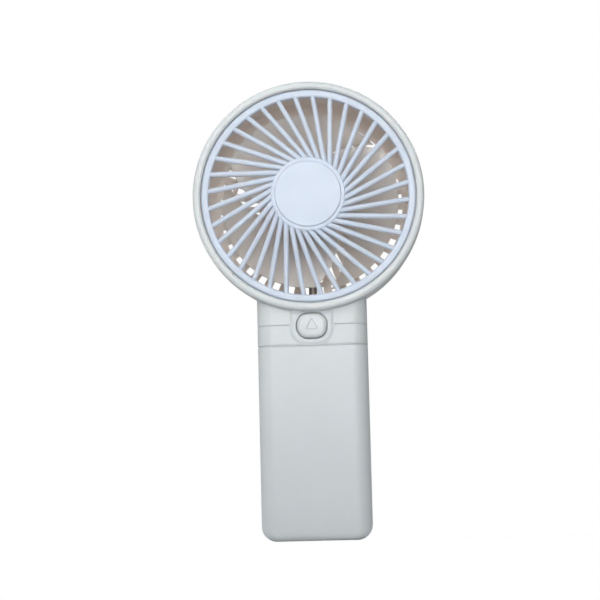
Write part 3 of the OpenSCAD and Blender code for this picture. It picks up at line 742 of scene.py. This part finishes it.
def spoke(index):
    """A spoke from inside the hub's edge to inside the rim, falling back with the grille's dish."""
    turn = SPOKE_PHASE + 2 * math.pi * index / SPOKES
    root, tip = hub_r - 0.7, open_r + 1.1
    root_front, tip_front = hub_front - hub_step - 0.15, rim_front - 0.25
    steps = 6
    stations = []
    for k in range(steps + 1):
        t = k / steps
        radius = mixed(root, tip, t)
        along = math.sqrt(radius * radius - SPOKE_LEAN * SPOKE_LEAN)
        forward = mixed(root_front, tip_front, t)
        ring = []
        for across, up in spoke_section(mixed(spoke_root_w, spoke_tip_w, t)):
            x, y = along, -SPOKE_LEAN + across
            ring.append((x * math.cos(turn) - y * math.sin(turn), -(forward + up),
                         axis_z + x * math.sin(turn) + y * math.cos(turn)))
        stations.append(ring)
    return loft(stations)


def hub_section():
    """The hub in section: a flat disc one step proud of the collar that the spokes meet."""
    collar = hub_front - hub_step
    corners = [(0, collar - hub_t), (0, hub_front), (disc_r, hub_front), (disc_r, collar),
               (hub_r, collar), (hub_r, collar - hub_t)]
    return fillet(corners, [0, 0, 0.5, 0.3, 0.8, 0.3], 6)


def grille_lug(quarter):
    """One of the four lugs behind the rim, which centre the grille in the ledge."""
    middle, spread_deg, steps = 45 + 90 * quarter, 10, 8
    outer = ledge_r - rim_play
    inner = outer - 1.0
    back, front = rim_back - 2, rim_back + 0.5
    section = fillet([(inner, back), (outer, back), (outer, front), (inner, front)], [0.25, 0.25, 0, 0], 3)
    rings = []
    for k in range(steps + 1):
        a = math.radians(middle + spread_deg * (k / steps - 0.5))
        rings.append([on_head(r, a, f) for r, f in section])
    return loft(rings)


def front_grille():
    rim = [(open_r, rim_back), (open_r, rim_front), (rim_r, rim_front), (rim_r, rim_back)]
    grille = make("grille", revolve(fillet(rim, [0.4, 0.9, 0.9, 0.3], 6), 288))
    join(grille, *[spoke(index) for index in range(SPOKES)])
    join(grille, revolve(hub_section(), 192))
    join(grille, *[grille_lug(quarter) for quarter in range(4)])
    finish(grille, "grille", "grille_plastic", "front_grille")


# ---------- impeller ----------

BLADES = 3
BLADE_COVER = 0.92                          # of the turn from one blade to the next
BLADE_PHASE = 84                            # degrees
BLADE_SWEEP = 42                            # degrees that the tip trails the root
blade_h = 15.0
blade_t = 1.4
cup_front = -wheel_lo[1]
cup_back = -wheel_hi[1]
blade_back = cup_back + 0.4


def blade(index):
    """A twisted blade, thinned towards its edges, as one closed skin."""
    along, out = 44, 14
    turn = index * 360 / BLADES
    root = skirt_r - 0.5

    def middle(i, j):
        t = i / along
        radius = root + (wheel_r - 0.1 - root) * j / out
        angle = turn + BLADE_PHASE + t * BLADE_COVER * 360 / BLADES
        angle -= BLADE_SWEEP * (radius - skirt_r) / (wheel_r - skirt_r)
        rise = t - 0.05 * math.sin(2 * math.pi * t)
        return Vector(on_head(radius, math.radians(angle), blade_back + blade_h * rise + blade_t / 2))

    def half_thickness(i, j):
        edge = min(1.0, i / 3, (along - i) / 3)
        tip = min(1.0, (out - j) / 2 + 0.3)
        return blade_t / 2 * (0.3 + 0.7 * math.sqrt(edge)) * math.sqrt(tip)

    sides = [[], []]
    for i in range(along + 1):
        for j in range(out + 1):
            m = middle(i, j)
            du = middle(min(i + 1, along), j) - middle(max(i - 1, 0), j)
            dv = middle(i, min(j + 1, out)) - middle(i, max(j - 1, 0))
            normal = du.cross(dv).normalized() * half_thickness(i, j)
            sides[0].append(tuple(m + normal))
            sides[1].append(tuple(m - normal))
    row = out + 1
    top = len(sides[0])
    verts = sides[0] + sides[1]
    faces = []
    for i in range(along):
        for j in range(out):
            q = i * row + j
            faces.append((q, q + 1, q + row + 1, q + row))
            faces.append((top + q, top + q + row, top + q + row + 1, top + q + 1))
    loop = [(0, j) for j in range(out)] + [(i, out) for i in range(along)]
    loop += [(along, j) for j in range(out, 0, -1)] + [(i, 0) for i in range(along, 0, -1)]
    edge = [i * row + j for i, j in loop]
    for a, b in zip(edge, edge[1:] + edge[:1]):
        faces.append((a, b, top + b, top + a))
    return verts, faces


def impeller():
    """A cup over the motor, with a boss on the shaft inside it and three blades on its skirt."""
    shaft_r, boss_r = 1.0, 3.2
    under, boss_end = cup_front - 1.6, cup_front - 6.5
    cup = [(shaft_r, under), (shaft_r, cup_front), (skirt_r, cup_front), (skirt_r, cup_back),
           (skirt_in, cup_back), (skirt_in, under), (boss_r, under), (boss_r, boss_end), (shaft_r, boss_end)]
    wheel = make("fan_wheel", revolve(fillet(cup, [0, 0.2, 1.8, 0.3, 0.2, 0.6, 0.3, 0.2, 0.1], 6), 144))
    join(wheel, *[blade(index) for index in range(BLADES)])
    finish(wheel, "rotor", "impeller_plastic", "impeller", 50)


# ---------- handle ----------

foot_r, toe_r = 6.6, 3.4
sleeve_t = 1.7


def quarter_turn(step):
    """Steps along a quarter circle, as the share of its radius risen: 0 at the bottom, 1 at the top."""
    return [1 - math.cos(math.radians(a)) for a in range(0, 91, step)]


def sleeve_section(z, inset):
    """The sleeve's outline at a height, moved in by inset: its lower edges are rounded both ways."""
    def pull_in(r):
        below = r - z
        return 0.0 if below <= 0 else (r - inset) - math.sqrt(max((r - inset) ** 2 - below * below, 0.0))

    half_w = grip_w / 2 - inset - pull_in(foot_r)
    half_t = grip_t / 2 - inset - pull_in(toe_r)
    rise = min(1.0, (z - inset) / foot_r)
    r = (grip_r - inset) * mixed(0.62, 1, rise)
    return [(x, y, z) for x, y in rounded_rect(2 * half_w, 2 * half_t, min(r, half_t - 0.1), 10)]


def grip_sleeve():
    """Up the outside from the foot, over the mouth, and down the inside to the floor of the sleeve."""
    straight = [20, 40, 60]
    inner_foot = foot_r - sleeve_t
    rings = [sleeve_section(foot_r * rise, 0) for rise in quarter_turn(9)]
    rings += [handle_ring(z, 0) for z in straight]
    rings += [handle_ring(mouth_z - 2 * line, 0), handle_ring(mouth_z - line, line_ease)]
    rings += [handle_ring(mouth_z, line_depth), handle_ring(mouth_z, sleeve_t - 0.1)]
    rings += [handle_ring(mouth_z - 0.3, sleeve_t)]
    rings += [handle_ring(z, sleeve_t) for z in reversed(straight)]
    rings += [sleeve_section(sleeve_t + inner_foot * rise, sleeve_t) for rise in reversed(quarter_turn(15))]
    finish(make("sleeve", loft(rings)), "sleeve", "shell_plastic", "grip_sleeve")


button_play = 0.12                          # the cap sits this far to one side of its hole
button_dome = 60.0


def button_sag(x, z):
    """How far the domed front falls back away from the button's middle."""
    return button_dome - math.sqrt(button_dome * button_dome - x * x - z * z)


def button_ring(inset, y, domed=True):
    gap = 0.3
    w, h = hole_w - 2 * (gap + inset), hole_h - 2 * (gap + inset)
    points = rounded_rect(w, h, max(hole_r - gap - inset, 0.3), 10)
    return [(x + button_play, y + (button_sag(x, z) if domed else 0), button_z + z + button_play)
            for x, z in points]


def triangle_groove():
    """The plain mark engraved in the button's front: a rounded triangle's outline."""
    def triangle(scale, depth):
        corners = [(0, 3.2), (-2.75, -1.8), (2.75, -1.8)]
        points = fillet([(x * scale, z * scale) for x, z in corners], [0.45] * 3, 4)
        y = depth - button_front
        return [(x + button_play, y + button_sag(x, z), button_z + z + 0.2) for x, z in points]

    section = [(1.06, -1), (1.03, 0.05), (0.93, 0.25), (0.83, 0.05), (0.80, -1)]
    return loft([triangle(scale, depth) for scale, depth in section], closed=True)


def power_button():
    edge_r, steps = 1.5, 6
    inner_wall = -grip_t / 2 + wall
    rings = [button_ring(0, -grip_t / 2 + 2.4, False), button_ring(0, -button_front + edge_r + 0.15)]
    for k in range(1, steps + 1):
        a = math.radians(90 * k / steps)
        rings.append(button_ring(edge_r * (1 - math.cos(a)), -button_front + edge_r * (1 - math.sin(a))))
    for inset in (2.2, 3.0, 3.8, 4.6, 5.0):
        rings.append(button_ring(inset, -button_front))
    cap = make("button", loft(rings))
    flange = rounded_rect(hole_w + 1.2, hole_h + 1.2, hole_r - 0.3, 8)
    plate = loft([[(x, y, button_z + z) for x, z in flange] for y in (inner_wall + 0.3, inner_wall + 1.3)])
    join(cap, plate, cylinder_y(0, button_z, 1.9, inner_wall + 1, inner_wall + 2.1))
    cut(cap, triangle_groove())
    finish(cap, "button", "button_plastic", "power_button", 28)


# ---------- battery tray ----------

def battery_tray():
    """The CAD piece with its edges eased, and a lip that shows as the light line over the sleeve."""
    tray = bpy.data.objects.new("tray", nodes["battery_tray"].data.copy())
    bpy.context.scene.collection.objects.link(tray)
    soften(tray, 0.1)
    finish(tray, "housing", "tray_plastic", "battery_tray")
    low, high = mouth_z + 0.05, mouth_z + line
    outer, inner = 0.42, 1.5
    lip = loft([handle_ring(low, outer), handle_ring(high, outer), handle_ring(high, inner),
                handle_ring(low, inner)], closed=True)
    finish(make("tray_lip", lip), "housing", "tray_plastic", None)


# ---------- pieces that keep their CAD shape ----------

def dress_cad_nodes():
    """Gives every CAD piece its material. The ones that a finer piece stands for don't show."""
    for part in frame["record"]["subparts"]:
        obj = nodes[part["node"]]
        for index in range(len(obj.material_slots)):
            obj.material_slots[index].material = materials[part["material_slot"]]


dress_cad_nodes()
front_housing()
rear_housing()
front_grille()
impeller()
grip_sleeve()
power_button()
battery_tray()


# ---------- studio ----------

SKY = 0.84
FLOOR_TOP = -0.2
FLOOR_T = 0.005


def floor():
    """A round sheet of pale paper, too thin to show as a line from the camera, which looks along it."""
    reach = 420
    rim = [(reach * math.cos(math.radians(a)), reach * math.sin(math.radians(a))) for a in range(0, 360, 3)]
    obj = make("floor", loft([[(x, y, z) for x, y in rim] for z in (FLOOR_TOP - FLOOR_T, FLOOR_TOP)]))
    mat, tree, bsdf = shader("floor_paper", (0.78, 0.78, 0.78), 0.8)
    bump(tree, bsdf, noise(tree, 900, 3), 0.05, 0.0002)
    tree.links.new(ramp(tree, noise(tree, 30, 3), [(0.3, (0.77,) * 3), (0.7, (0.79,) * 3)]),
                   bsdf.inputs["Base Color"])
    bsdf.inputs["Emission Color"].default_value = (1, 1, 1, 1)
    bsdf.inputs["Emission Strength"].default_value = 0.04
    obj.data.materials.append(mat)


def area_light(name, place, aim, size, power, color, angle):
    """A round lamp, in metres and watts, whose light stays within that angle."""
    data = bpy.data.lights.new(name, "AREA")
    data.shape = "DISK"
    data.size = size
    data.energy = power
    data.color = color
    data.spread = math.radians(angle)
    obj = bpy.data.objects.new(name, data)
    obj.location = place
    obj.rotation_euler = (Vector(aim) - Vector(place)).to_track_quat("-Z", "Y").to_euler()
    bpy.context.scene.collection.objects.link(obj)


def world():
    """White behind the object; what lights it is a soft sky, brightest overhead and in front."""
    scene = bpy.context.scene
    scene.world = bpy.data.worlds.new("studio")
    scene.world.use_nodes = True
    tree = scene.world.node_tree
    backdrop = tree.nodes["Background"]
    backdrop.inputs["Color"].default_value = (1, 1, 1, 1)
    backdrop.inputs["Strength"].default_value = 1.0
    place = tree.nodes.new("ShaderNodeTexCoord")
    split = tree.nodes.new("ShaderNodeSeparateXYZ")
    tree.links.new(place.outputs["Generated"], split.inputs["Vector"])
    height = tree.nodes.new("ShaderNodeMapRange")
    height.inputs["From Min"].default_value = -1
    tree.links.new(split.outputs["Z"], height.inputs["Value"])
    sky = tree.nodes.new("ShaderNodeBackground")
    stops = [(0.0, (0.10, 0.07, 0.05)), (0.42, (0.20, 0.17, 0.15)), (0.58, (0.46, 0.47, 0.48)),
             (1.0, (0.80, 0.84, 0.88))]
    side = tree.nodes.new("ShaderNodeMapRange")
    side.inputs["From Min"].default_value = -1
    side.inputs["To Min"].default_value = 1.3
    side.inputs["To Max"].default_value = 0.45
    tree.links.new(split.outputs["X"], side.inputs["Value"])
    shade = tree.nodes.new("ShaderNodeVectorMath")
    shade.operation = "MULTIPLY"
    tree.links.new(ramp(tree, height.outputs["Result"], stops), shade.inputs[0])
    tree.links.new(side.outputs["Result"], shade.inputs[1])
    tree.links.new(shade.outputs["Vector"], sky.inputs["Color"])
    sky.inputs["Strength"].default_value = SKY
    seen = tree.nodes.new("ShaderNodeLightPath")
    mix = tree.nodes.new("ShaderNodeMixShader")
    tree.links.new(seen.outputs["Is Camera Ray"], mix.inputs["Fac"])
    tree.links.new(sky.outputs["Background"], mix.inputs[1])
    tree.links.new(backdrop.outputs["Background"], mix.inputs[2])
    tree.links.new(mix.outputs["Shader"], tree.nodes["World Output"].inputs["Surface"])
    scene.view_settings.view_transform = "Standard"


def camera():
    """At the photograph's angle: low, a little to the object's right, slightly tilted."""
    data = bpy.data.cameras.new("camera")
    data.sensor_width = 36
    data.lens = 117.5
    data.clip_start, data.clip_end = 0.001, 10
    obj = bpy.data.objects.new("camera", data)
    place = Vector((0.030, -0.847, (FLOOR_TOP - FLOOR_T / 2) * MM))
    aim = Vector((-0.00525, 0, 0.1044))
    look = (aim - place).to_track_quat("-Z", "Y")
    obj.rotation_mode = "QUATERNION"
    obj.location = place
    obj.rotation_quaternion = look @ Matrix.Rotation(math.radians(-1.4), 3, "Z").to_quaternion()
    bpy.context.scene.collection.objects.link(obj)
    bpy.context.scene.camera = obj


floor()
world()
camera()
area_light("key", (-0.24, -0.46, 0.44), (0, 0, 0.17), 0.28, 0.42, (1.0, 0.985, 0.965), 120)
area_light("front", (0.03, -0.50, 0.22), (0, 0, 0.175), 0.30, 0.18, (0.97, 0.99, 1.0), 50)
area_light("back", (0.18, 0.60, 0.50), (0, 0, 0.15), 0.4, 0.6, (1.0, 0.99, 0.98), 100)
